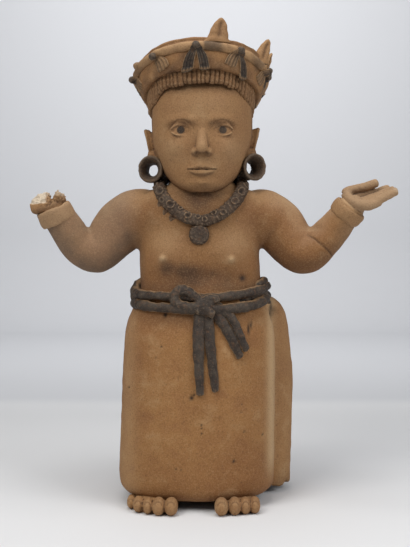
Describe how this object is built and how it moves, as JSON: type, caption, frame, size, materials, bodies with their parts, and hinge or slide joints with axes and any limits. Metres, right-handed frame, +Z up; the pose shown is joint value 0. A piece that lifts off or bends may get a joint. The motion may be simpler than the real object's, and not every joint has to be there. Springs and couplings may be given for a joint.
{
  "type": "terracotta priest statue",
  "caption": "Standing fired clay figure of a priest, arms raised, in a wide corded headdress, a tied sash and a long plain skirt.",
  "frame": {"origin": "on the floor, under the middle of the statue's bounding box", "axes": "+Z up; the figure faces -Y; +X towards the figure's own left hand"},
  "size_m": [0.4398, 0.1892, 0.578],
  "materials": {
    "terracotta": "matte, unglazed fired clay with worn dark paint"
  },
  "bodies": {
    "root": {"priest_figure": "terracotta"}
  },
  "joints": []
}
